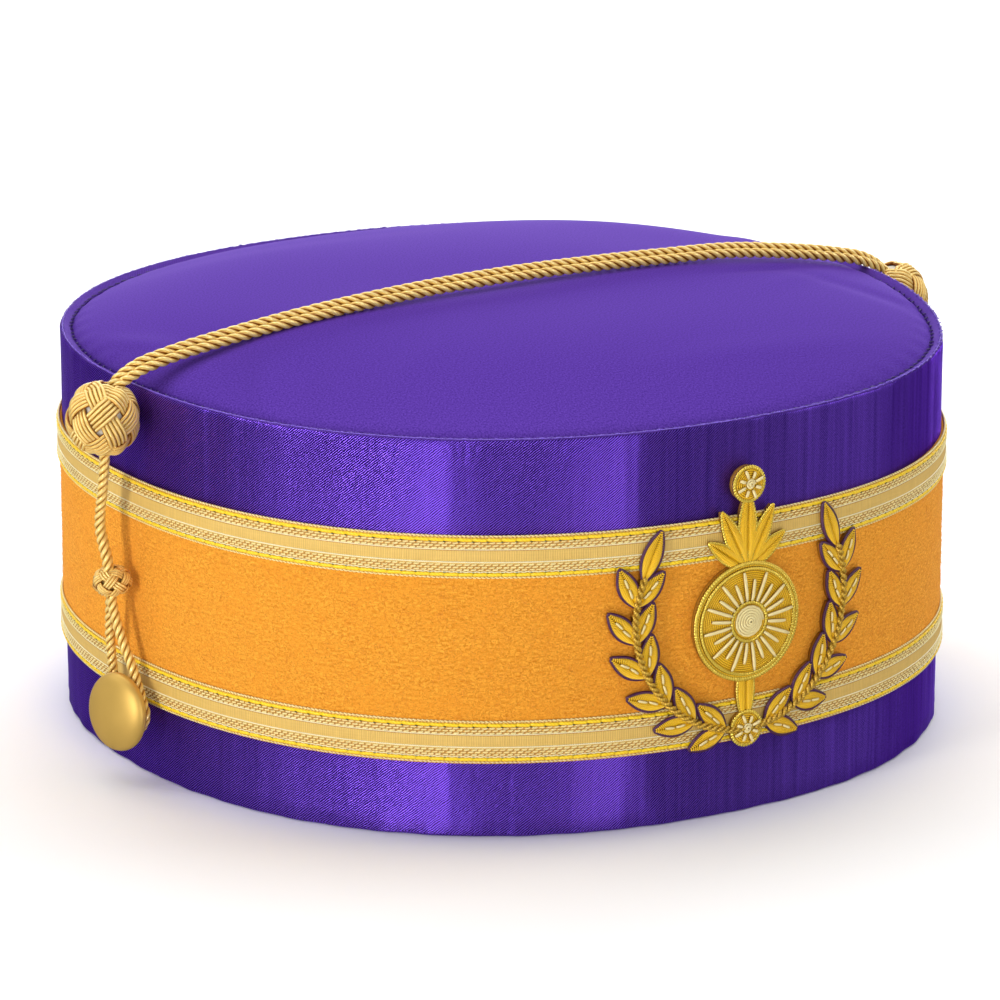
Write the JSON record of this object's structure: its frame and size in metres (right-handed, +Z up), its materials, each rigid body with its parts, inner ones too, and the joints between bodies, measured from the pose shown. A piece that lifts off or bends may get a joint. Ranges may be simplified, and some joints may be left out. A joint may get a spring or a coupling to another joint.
{
  "type": "regalia crown cap",
  "caption": "Oval flat-sided purple satin cap with an orange felt band, gold lace braids, a doubled gold ear cord with woven knots, brass buttons and an embroidered wreath badge.",
  "frame": {"origin": "centre of the whole part's footprint on the surface that the open bottom edge rests on", "axes": "+Z up, from the open edge to the domed top; -Y is the front, with the badge; +X and -X are the ears, with the knots and buttons"},
  "size_m": [0.2242, 0.2005, 0.102],
  "materials": {
    "purple_satin": "satin",
    "orange_felt": "matte",
    "gold_lace": "satin",
    "gold_cord": "satin",
    "button_brass": "satin",
    "gold_bullion": "satin"
  },
  "bodies": {
    "root": {"crown_wall": "purple_satin", "crown_top": "purple_satin", "felt_band": "orange_felt", "lower_braid": "gold_lace", "upper_braid": "gold_lace", "cord_front": "gold_cord", "cord_back": "gold_cord", "left_ball_knot": "gold_cord", "right_ball_knot": "gold_cord", "left_slide_knot": "gold_cord", "right_slide_knot": "gold_cord", "left_button": "button_brass", "right_button": "button_brass", "front_badge": "gold_bullion"}
  },
  "joints": []
}
